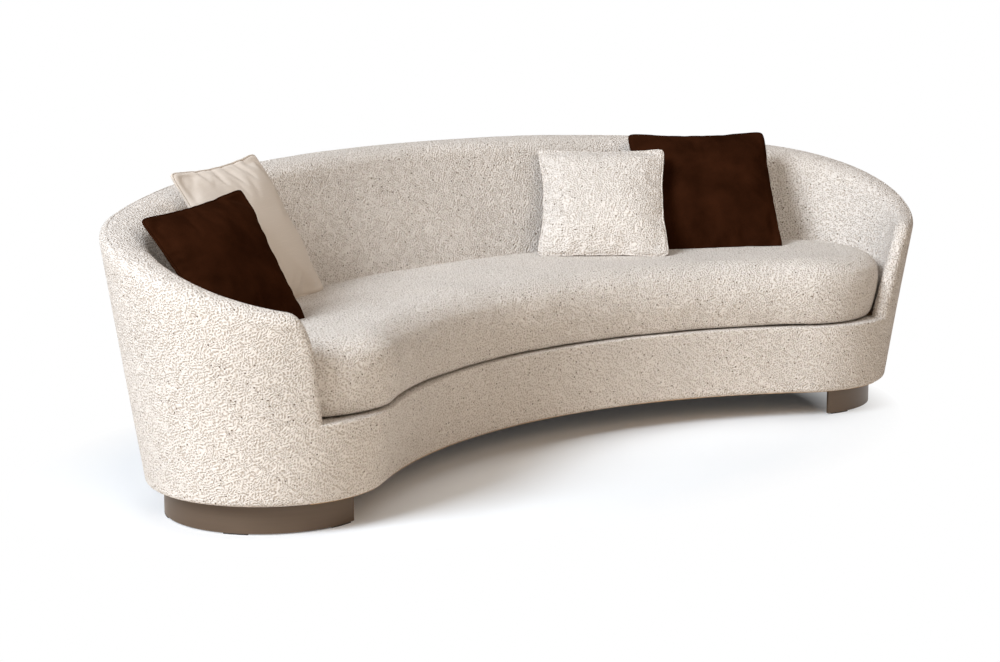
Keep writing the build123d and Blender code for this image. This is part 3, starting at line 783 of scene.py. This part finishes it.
class ShellCloth:
    """Grids of the shell's cloth: the outside, the round along the arms and the rim, and the inside."""

    def __init__(self, plan, cloth, edge_setback=0.0):
        self.plan = plan
        self.cloth = cloth
        self.shape = Crescent(plan)
        full = plan.half_angle + plan.arm_end_angle
        edge_height = (DECK_HEIGHT + SEAT_HEIGHT) / 2
        self.reach = self.shape.outer_half(edge_height)
        self.end = full - (edge_setback + self.shape.wall_gap(full, edge_height) / 2) / self.reach
        self.corner = cloth.corner_reach / self.reach
        self.low = DECK_HEIGHT - cloth.ledge_drop - cloth.ledge_round
        half = plan.half_angle
        back = spaced(half, -half, plan.mid_radius, cloth.spacing)
        bends = np.linspace(0, pi / 2, CORNER_STEPS, endpoint=False)
        arm = spaced(self.end - self.corner, half, self.reach, cloth.spacing)
        side = np.concatenate((self.end - self.corner * (1 - np.cos(bends)), arm))
        self.headings = np.concatenate((-side, -back, [half], side[::-1]))
        self.front = np.concatenate((back, [-half]))
        self.tip = spaced(self.end, half + pi, self.reach, cloth.spacing)[1:]
        self.outer, self.inner = self.wall_grids()

    def corner_turn(self):
        """How far each heading is round its arm's top corner: 0 at the edge, a right angle on the rim."""
        from_end = np.clip((self.end - np.abs(self.headings)) / self.corner, 0, 1)
        return np.arccos(1 - from_end)

    def leaning(self, z):
        """Headings of the wall's columns at a height, those near an arm's edge drawn back as it leans."""
        near = np.clip((np.abs(self.headings) - self.end) / self.plan.lean_reach + 1, 0, 1)
        slope = tan(self.plan.edge_lean) / self.reach
        return self.headings - np.sign(self.headings) * near**2 * slope * (z - self.low)

    def outer_wall(self, z):
        """Points of the outside wall at a height."""
        return self.shape.outside(self.leaning(z), False, z)

    def inner_wall(self, z):
        """Points of the inside wall at a height."""
        return self.shape.inside(self.leaning(z), z)

    def wall_grids(self):
        """Points of the outside and inside walls, from the ledge up to where the round of the edge starts."""
        cloth = self.cloth
        outer_rim = self.shape.rim_at(self.outer_wall)
        inner_rim = self.shape.rim_at(self.inner_wall)
        gap = self.shape.wall_gap(self.headings, outer_rim)
        fall = cloth.corner_drop * (1 - np.sin(self.corner_turn()))
        drop = np.minimum(cloth.rim_roll, gap / 2) + fall
        rows = ceil((self.plan.back_height - self.low) / cloth.spacing)
        share = np.linspace(0, 1, rows + 1)[:, None]
        outer = self.outer_wall(self.low + share * (outer_rim - drop - self.low))
        return outer, self.inner_wall(self.low + share * (inner_rim - drop - self.low))

    def edge_round(self, start, end, steps):
        """The round over the arms' front edges and the rim, from an angle to an angle across it."""
        outer = border(self.outer)[:, None]
        inner = border(self.inner)[:, None]
        turns = np.zeros(self.outer.shape[:2])
        turns[-1] = self.corner_turn()
        turn = border(turns)[:, None]
        half_gap = np.linalg.norm(outer - inner, axis=-1) / 2
        depth = half_gap * np.cos(turn) ** 2 + np.minimum(self.cloth.rim_roll, half_gap) * np.sin(turn) ** 2
        across = np.linspace(start, end, steps)[None]
        share = (1 - np.cos(across[..., None])) / 2
        outer_facing, inner_facing = (border_outwards(grid)[:, None] for grid in (self.outer, self.inner))
        facing = unit((1 - share) * outer_facing + share * inner_facing)
        drawn = self.cloth.seam_depth * np.exp(-(((across - self.cloth.seam_angle) / SEAM_SPREAD) ** 2))
        wide = np.sign(np.cos(across)) * np.abs(np.cos(across)) ** EDGE_SQUARENESS
        deep = np.abs(np.sin(across)) ** EDGE_SQUARENESS
        middle = (outer + inner) / 2
        out = middle + (outer - inner) / 2 * wide[..., None] + facing * (depth * deep)[..., None]
        return out + unit(middle - out) * drawn[..., None]

    def band(self, start, end, profile):
        """Outside cloth along a profile, at headings from start round a tip, the front and a tip to end."""
        parts = (start, self.tip, self.front, -self.tip[::-1], end)
        headings = np.concatenate(parts)
        fronts = np.concatenate([np.full(len(part), part is self.front) for part in parts])
        return np.array([self.shape.outside(headings, fronts, z, inset) for inset, z in profile])

    def base_band(self):
        """Cloth round the base, from the part turned under it up to the ledge."""
        bend = np.linspace(0, pi / 2, ROUND_STEPS)
        radius, under = self.cloth.hem_round, self.cloth.hem_return
        profile = [(radius + under, HEM_HEIGHT + radius / 2), (radius + under / 2, HEM_HEIGHT)]
        profile += list(zip(radius * (1 - np.sin(bend)), HEM_HEIGHT + radius * (1 - np.cos(bend))))
        rows = ceil((self.low - HEM_HEIGHT) / self.cloth.spacing)
        profile += [(0.0, z) for z in np.linspace(HEM_HEIGHT + radius, self.low, rows)[1:]]
        return self.band(self.headings, [], profile)

    def ledge(self):
        """Cloth rolled over the front edge of the base and under the cushion."""
        bend = np.linspace(0, pi / 2, ROUND_STEPS)
        radius = self.cloth.ledge_round
        rise = radius - LEDGE_GAP
        profile = list(zip(radius * (1 - np.cos(bend)), self.low + rise * np.sin(bend)))
        runs = (*LEDGE_BENDS, self.cloth.ledge_return)
        profile += [(radius + run, self.low + rise - LEDGE_FALL * run) for run in runs]
        return self.band([self.end], [-self.end], profile)


def border(grid):
    """Values along the free edge of a wall's grid: up the first column, along the top row, down the last."""
    return np.concatenate((grid[:-1, 0], grid[-1], grid[-2::-1, -1]))


def unit(vectors):
    """Vectors of length one."""
    return vectors / np.linalg.norm(vectors, axis=-1, keepdims=True)


def border_outwards(grid):
    """Directions in which a wall runs out over its free edge."""
    normals = unit(np.cross(np.gradient(grid, axis=1), np.gradient(grid, axis=0)))
    outwards = unit(np.cross(np.gradient(border(grid), axis=0), border(normals)))
    return outwards * np.sign(outwards[len(outwards) // 2, 2])


def evened(points, count, passes):
    """A line divided evenly and smoothed, with its ends kept."""
    points = np.array(points, float)
    run = np.concatenate(([0], np.cumsum(np.linalg.norm(np.diff(points, axis=0), axis=1))))
    even = np.linspace(0, run[-1], count)
    line = np.stack([np.interp(even, run, column) for column in points.T], axis=1)
    for _ in range(passes):
        line[1:-1] = (line[:-2] + 2 * line[1:-1] + line[2:]) / 4
    return line


def filled(name, mesh, pressure, frames, stiffness, cap=None, pins=None, slack=0.0):
    """Points of a closed cloth filled with air. Pinned points stay, and none moves by more than a cap."""
    start = np.array([v.co for v in mesh.vertices])
    helper = scratch_object(name, mesh)
    cloth = helper.modifiers.new("fill", "CLOTH")
    settings = cloth.settings
    if pins is not None:
        helper.vertex_groups.new(name="sewn").add([int(i) for i in pins], 1.0, "REPLACE")
        settings.vertex_group_mass = "sewn"
    settings.shrink_min = -slack
    settings.use_pressure = True
    settings.uniform_pressure_force = pressure
    settings.effector_weights.gravity = 0
    settings.tension_stiffness = stiffness
    settings.compression_stiffness = stiffness
    settings.air_damping = 4
    settings.quality = 5
    cloth.collision_settings.use_collision = False
    cloth.point_cache.frame_start = 1
    cloth.point_cache.frame_end = frames
    for frame_number in range(1, frames + 1):
        bpy.context.scene.frame_set(frame_number)
    result = finished_mesh(helper, name)
    end = np.array([v.co for v in result.vertices])
    bpy.data.objects.remove(helper)
    bpy.data.meshes.remove(result)
    bpy.context.scene.frame_set(1)
    moved = end - start
    if cap:
        distance = np.linalg.norm(moved, axis=1, keepdims=True)
        moved *= np.minimum(1, cap / np.maximum(distance, 1e-9))
    return start + moved


def thickened(piece, thickness):
    """Give a sheet of cloth its thickness, inwards."""
    solid = piece.modifiers.new("thickness", "SOLIDIFY")
    solid.thickness = thickness
    solid.offset = -1


def subdivided(name, mesh):
    """A mesh after one smooth subdivision."""
    helper = scratch_object(name, mesh)
    smooth = helper.modifiers.new("smooth", "SUBSURF")
    smooth.levels = 1
    smooth.render_levels = 1
    result = finished_mesh(helper, name)
    bpy.data.objects.remove(helper)
    result.shade_smooth()
    return result


class SofaOperator(bpy.types.Operator):
    """What the sofa's operators share."""

    bl_options = {"REGISTER", "UNDO"}

    def execute(self, context):
        self.make(context.scene)
        return {"FINISHED"}


class SOFA_OT_outside_cover(SofaOperator):
    """Stretch the looped cloth over the outside, the base and the rim"""

    bl_idname = "sofa.outside_cover"
    bl_label = "Outside cover"

    def make(self, scene):
        cloth = scene.sofa_cloth
        shell = ShellCloth(scene.sofa_plan, cloth)
        base = shell.base_band()
        edge = shell.edge_round(0, cloth.seam_angle, steps=9)
        patches = [(base, True), (shell.outer, False), (edge, False), (shell.ledge(), False)]
        mesh = mesh_from_patches("outside_cover", patches, "out")
        wander(mesh, cloth.waviness, size=0.22, seed=1.7)
        piece = new_piece("outside_cover", mesh, SHELL, finish("boucle"), ["outer_cover"])
        thickened(piece, cloth.cloth_thickness)


class SOFA_OT_back_skin(SofaOperator):
    """Bend the plywood skin behind the outside cover"""

    bl_idname = "sofa.back_skin"
    bl_label = "Plywood skin"

    def make(self, scene):
        cloth = scene.sofa_cloth
        shell = ShellCloth(scene.sofa_plan, cloth, edge_setback=SKIN_SETBACK)
        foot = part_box("back_shell")[0].z
        outwards = unit(shell.outer - shell.inner)
        heights = (foot + SKIN_FOOT_GAP, (foot + shell.low) / 2)
        below = [shell.shape.outside(shell.headings, False, z) for z in heights]
        rows = (
            np.concatenate((below, shell.outer))
            - cloth.skin_depth * np.concatenate((outwards[:2], outwards))
        )
        mesh = mesh_from_patches("back_skin", [(rows, False)], "out")
        piece = new_piece("back_skin", mesh, SHELL, finish("plywood"), ["back_shell"])
        thickened(piece, cloth.skin_thickness)


class SOFA_OT_inside_cover(SofaOperator):
    """Pad the inside of the back and arms"""

    bl_idname = "sofa.inside_cover"
    bl_label = "Inside of the back"

    def make(self, scene):
        cloth = scene.sofa_cloth
        shell = ShellCloth(scene.sofa_plan, cloth)
        patches = [(shell.edge_round(cloth.seam_angle, pi, steps=16), False), (shell.inner, False)]
        mesh = mesh_from_patches("inside_cover", patches, "in")
        wander(mesh, cloth.waviness * 1.5, size=0.18, seed=4.1)
        replaced = ["inner_back_cover", "inner_back_foam"]
        piece = new_piece("inside_cover", mesh, SHELL, finish("boucle"), replaced)
        thickened(piece, 2 * cloth.cloth_thickness)


class SOFA_OT_edge_seam(SofaOperator):
    """Sew the two covers together along the arms and the rim"""

    bl_idname = "sofa.edge_seam"
    bl_label = "Seam along the rim"

    def make(self, scene):
        cloth = scene.sofa_cloth
        shell = ShellCloth(scene.sofa_plan, cloth)
        seam = shell.edge_round(cloth.seam_angle, cloth.seam_angle, steps=1)[:, 0]
        line = evened(seam, count=700, passes=0)
        sizes = {"Radius": cloth.welt_radius, "Spacing": cloth.stitch_spacing, "Rise": cloth.welt_radius}
        mesh = along_line("edge_seam", line, False, piping_tree(finish("boucle")), sizes)
        new_piece("edge_seam", mesh, SHELL)


def lining_sheet(name, shape, radius, half, heights, facing, thickness, replaced):
    """Stretch a crescent of lining, its heights given from its edge to its middle line."""
    headings, fronts = shape.outline(LINING_SPACING)
    shares = np.linspace(1, 0, len(heights))
    rows = [shape.place(headings, fronts, radius, half * s, z) for s, z in zip(shares, heights)]
    mesh = mesh_from_patches(name, [(np.array(rows), True)], facing)
    piece = new_piece(name, mesh, SHELL, finish("lining"), [replaced])
    thickened(piece, thickness)
    width, depth, area = shape.crescent_size(radius, half)


class SOFA_OT_deck(SofaOperator):
    """Stretch the deck cloth under the cushion"""

    bl_idname = "sofa.deck"
    bl_label = "Deck"

    def make(self, scene):
        shape = Crescent(scene.sofa_plan)
        radius, half = shape.well(DECK_HEIGHT)
        radius, half = radius + DECK_SETBACK, half - DECK_INSET
        heights = DECK_HEIGHT - DECK_GAP - DECK_SAG * (1 - np.linspace(1, 0, 11) ** 2)
        lining_sheet(
            "deck", shape, radius, half, heights, "up", DECK_THICKNESS, "deck_cloth"
        )


class SOFA_OT_seat_cushion(SofaOperator):
    """Fill the long seat cushion"""

    bl_idname = "sofa.seat_cushion"
    bl_label = "Seat cushion"

    def make(self, scene):
        cloth = scene.sofa_cloth
        shape = Crescent(scene.sofa_plan)
        headings, fronts = shape.outline(cloth.cushion_spacing)
        low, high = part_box("seat_cushion_cover")[0].z, SEAT_HEIGHT
        draws = np.array(CUSHION_DRAWS) + cloth.cushion_gap
        edge = low - cloth.ledge_drop
        heights = edge + np.array(CUSHION_LEVELS) * (high - edge)
        profile = evened(np.stack((draws, heights), axis=1), count=30, passes=1)
        floor_half = shape.well(edge)[1] - profile[0][0]
        top_half = shape.well(high)[1] - profile[-1][0]
        floor = [(s, low - cloth.ledge_drop * s**12) for s in np.linspace(0, 1, 20, endpoint=False)]
        rows = [(shape.well(edge)[0], floor_half * s, z) for s, z in floor]
        rows += [(shape.well(z)[0], shape.well(z)[1] - draw, z) for draw, z in profile]
        rows += [(shape.well(high)[0], top_half * s, high) for s in np.linspace(1, 0, 12)[1:]]
        grid = np.array([shape.place(headings, fronts, *row) for row in rows])
        mesh = mesh_from_patches("seat_cushion", [(grid, True)], "out")
        points = filled("seat_cushion_fill", mesh, pressure=1.2, frames=16, stiffness=40, cap=0.006)
        points[:, 2] = np.clip(points[:, 2], edge, high + CUSHION_RISE)
        set_points(mesh, points)
        wander(mesh, amount=0.003, size=0.16, seed=7.3)
        points = np.array([v.co for v in mesh.vertices])
        points[:, 2] = np.maximum(points[:, 2], edge)
        set_points(mesh, points)
        mesh = subdivided("seat_cushion", mesh)
        replaced = ["seat_cushion_cover", "seat_cushion_foam"]
        piece = new_piece("seat_cushion", mesh, "seat_cushion", finish("boucle"), replaced)


def pillow_sheet(name, width, height, draws, corners, cloth, seed):
    """Two squares of cloth sewn together round their drawn-in edge, with a little room between them."""
    steps = np.linspace(-1, 1, cloth.pillow_cells + 1)
    across, up = np.meshgrid(steps, steps)
    left, right, lower, upper = draws
    blunt = 1 - cloth.pillow_corner * np.abs(across * up) ** CORNER_SHARPNESS
    sides = left + (right - left) * (across + 1) / 2
    ends = lower + (upper - lower) * (up + 1) / 2
    x = across * blunt * width / 2 * (1 - sides * (1 - up**2))
    y = up * blunt * height / 2 * (1 - ends * (1 - across**2))
    for (sideways, lift), (a, b) in zip(corners, ((-1, -1), (1, -1), (-1, 1), (1, 1))):
        share = (1 + a * across) * (1 + b * up) / 4
        x += share * sideways
        y += share * lift
    room = UNFILLED_SHARE * cloth.pillow_thickness * ((1 - across**2) * (1 - up**2)) ** UNFILLED_FULLNESS
    spots = steps * UNEVEN_SIZE
    uneven = np.array([[noise.noise(Vector((a, b, seed))) for a in spots] for b in spots])
    faces = [
        (np.stack((x, y, side * room * (1 + UNEVEN_SHARE * uneven)), axis=-1), False) for side in (1, -1)
    ]
    return mesh_from_patches(name, faces, "out")


class SOFA_OT_pillows(SofaOperator):
    """Fill the four loose pillows and lean them against the back"""

    bl_idname = "sofa.pillows"
    bl_label = "Pillows"

    def make(self, scene):
        cloth = scene.sofa_cloth
        for seed, (name, sizes) in enumerate(PILLOWS.items()):
            fabric, width, height, turn, lean, draws, corners = sizes
            mesh = pillow_sheet(name, width, height, draws, corners, cloth, seed * 5.3)
            flat = np.array([v.co for v in mesh.vertices])
            rim = np.abs(flat[:, 2]) < 1e-6
            points = flat.copy()
            sewn = np.flatnonzero(rim)
            points = filled(
                f"{name}_fill", mesh, pressure=3.0, frames=16, stiffness=20, pins=sewn, slack=0.035
            )
            points[:, 2] *= cloth.pillow_thickness / np.ptp(points[:, 2])
            set_points(mesh, points)
            edge = mesh.attributes.new("edge", "FLOAT", "POINT")
            edge.data.foreach_set("value", rim.astype(np.float32))
            layer = mesh.uv_layers.new(name="UVMap")
            loops = np.array([loop.vertex_index for loop in mesh.loops])
            layer.data.foreach_set("uv", np.asarray(flat[loops][:, :2], np.float32).ravel())
            mesh = subdivided(name, mesh)
            values = np.empty(len(mesh.vertices), np.float32)
            mesh.attributes["edge"].data.foreach_get("value", values)
            line = np.array([v.co for v in mesh.vertices])[values > 0.99]
            line = line[np.argsort(np.arctan2(line[:, 1], line[:, 0]))]
            place = pillow_place(name, turn, lean)
            mesh.transform(place)
            replaced = [f"{name}_cover", f"{name}_filling"]
            piece = new_piece(name, mesh, name, finish(fabric), replaced)
            cord_sizes = {"Radius": cloth.piping_radius, "Spacing": cloth.stitch_spacing, "Rise": 0.0}
            cord = along_line(f"{name}_piping", line, True, piping_tree(finish(fabric)), cord_sizes)
            cord.transform(place)
            new_piece(f"{name}_piping", cord, name)


def pillow_place(name, turn, lean):
    """Where a pillow leans: x along its width, y up its height, z out of its front."""
    low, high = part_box(f"{name}_cover")
    turn, lean = radians(turn), radians(lean)
    across = Vector((cos(turn), sin(turn), 0))
    front = Vector((sin(turn) * cos(lean), -cos(turn) * cos(lean), sin(lean)))
    place = Matrix((across, front.cross(across), front)).transposed().to_4x4()
    place.translation = (low + high) / 2
    return place


class SOFA_OT_underside(SofaOperator):
    """Staple the dust cover under the base"""

    bl_idname = "sofa.underside"
    bl_label = "Underside"

    def make(self, scene):
        plan = scene.sofa_plan
        shape = Crescent(plan)
        low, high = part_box("dust_cloth")
        radius = plan.mid_radius
        half = (high.y - low.y - radius * (1 - cos(plan.half_angle))) / 2
        heights = np.full(10, high.z - DUST_COVER_GAP)
        thickness = DUST_COVER_THICKNESS
        lining_sheet(
            "dust_cover", shape, radius, half, heights, "down", thickness, "dust_cloth"
        )
        line = shape.place(*shape.outline(LINING_SPACING), radius, half - STAPLE_INSET, low.z)
        sizes = {"Spacing": STAPLE_SPACING}
        staples = along_line("dust_cover_staples", line, True, staple_tree(finish("steel")), sizes)
        new_piece("dust_cover_staples", staples, SHELL)


class SOFA_OT_frame(SofaOperator):
    """Finish the timber frame, the webbing, the plinths and the fixings"""

    bl_idname = "sofa.frame"
    bl_label = "Frame and plinths"

    def make(self, scene):
        kinds = {"plinth": "bronze", "webbing": "webbing", "screws": "steel", "glides": "felt"}
        for name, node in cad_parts.items():
            if node.hide_render:
                continue
            kind = next((slot for word, slot in kinds.items() if word in name), "plywood")
            node.data.materials.clear()
            node.data.materials.append(finish(kind))


class SOFA_OT_studio(SofaOperator):
    """Set the floor, the soft light and the camera"""

    bl_idname = "sofa.studio"
    bl_label = "Studio"

    def make(self, scene):
        studio = scene.sofa_studio
        floor_mesh = bpy.data.meshes.new("studio_floor")
        reach = 40.0
        floor_mesh.from_pydata(
            [(-reach, -reach, 0), (reach, -reach, 0), (reach, reach, 0), (-reach, reach, 0)],
            [],
            [(0, 1, 2, 3)],
        )
        floor_mesh.materials.append(finish("floor"))
        floor = scratch_object("studio_floor", floor_mesh)
        self.set_world(scene, studio.ambient, studio.ambient_tint)
        lights = (
            ("key", (-9.7, -0.8, 7.2), (0.0, 0.0, 0.4), 4.5, studio.key_power, studio.key_tint),
            ("front", (-3.5, -8.0, 4.5), (0.2, 0.0, 0.4), 4.0, studio.front_power, studio.front_tint),
            ("top", (0.6, -0.8, 4.6), (0.0, 0.0, 0.4), 4.0, studio.top_power, (1.0, 1.0, 1.0)),
        )
        for light in lights:
            self.add_light(*light)
        lens = bpy.data.cameras.new("camera")
        lens.lens = studio.lens
        lens.sensor_width = 36
        camera = bpy.data.objects.new("camera", lens)
        camera.location = studio.camera_place
        camera.rotation_euler = (pi / 2 - studio.camera_dip, 0, -studio.camera_heading)
        scene.collection.objects.link(camera)
        scene.camera = camera
        scene.view_settings.view_transform = "Standard"

    def set_world(self, scene, ambient, tint):
        """White to the camera and in reflections, and a plain soft light on the sofa."""
        world = bpy.data.worlds.new("studio")
        scene.world = world
        world.use_nodes = True
        tree = world.node_tree
        even = tree.nodes["Background"]
        feed(tree, even.inputs["Color"], tint)
        feed(tree, even.inputs["Strength"], ambient)
        white = wire(tree, "ShaderNodeBackground", Color=(1, 1, 1))
        show_blend(tree, "World Output", seen_rays(tree), even, white)

    def add_light(self, name, place, target, size, power, tint):
        """A large square light aimed at a point."""
        lamp = bpy.data.lights.new(name, "AREA")
        lamp.color = tint
        lamp.size = size
        lamp.energy = power
        light = bpy.data.objects.new(name, lamp)
        light.location = place
        light.rotation_euler = (Vector(target) - Vector(place)).to_track_quat("-Z", "Y").to_euler()
        bpy.context.scene.collection.objects.link(light)


OPERATORS = (
    SOFA_OT_outside_cover,
    SOFA_OT_back_skin,
    SOFA_OT_inside_cover,
    SOFA_OT_edge_seam,
    SOFA_OT_deck,
    SOFA_OT_seat_cushion,
    SOFA_OT_pillows,
    SOFA_OT_underside,
    SOFA_OT_frame,
    SOFA_OT_studio,
)


class SOFA_PT_sidebar(bpy.types.Panel):
    """Lists the pieces of the sofa"""

    bl_idname = "SOFA_PT_sidebar"
    bl_label = "Crescent Sofa"
    bl_space_type = "VIEW_3D"
    bl_region_type = "UI"
    bl_category = "Sofa"

    def draw(self, context):
        for operator in OPERATORS:
            self.layout.operator(operator.bl_idname)


GROUPS = {
    "sofa_plan": SofaPlan,
    "sofa_cloth": SofaCloth,
    "sofa_colours": SofaColours,
    "sofa_studio": SofaStudio,
}


def register():
    """Add the sofa's settings, operators and sidebar."""
    for name, group in GROUPS.items():
        bpy.utils.register_class(group)
        setattr(bpy.types.Scene, name, PointerProperty(type=group))
    for operator in OPERATORS:
        bpy.utils.register_class(operator)
    bpy.utils.register_class(SOFA_PT_sidebar)


def unregister():
    """Take the sofa's sidebar, operators and settings away again."""
    bpy.utils.unregister_class(SOFA_PT_sidebar)
    for operator in reversed(OPERATORS):
        bpy.utils.unregister_class(operator)
    for name, group in reversed(GROUPS.items()):
        delattr(bpy.types.Scene, name)
        bpy.utils.unregister_class(group)


def main():
    """Dress the sofa piece by piece."""
    register()
    for operator in OPERATORS:
        group, action = operator.bl_idname.split(".")
        getattr(getattr(bpy.ops, group), action)()


if __name__ == "__main__":
    main()
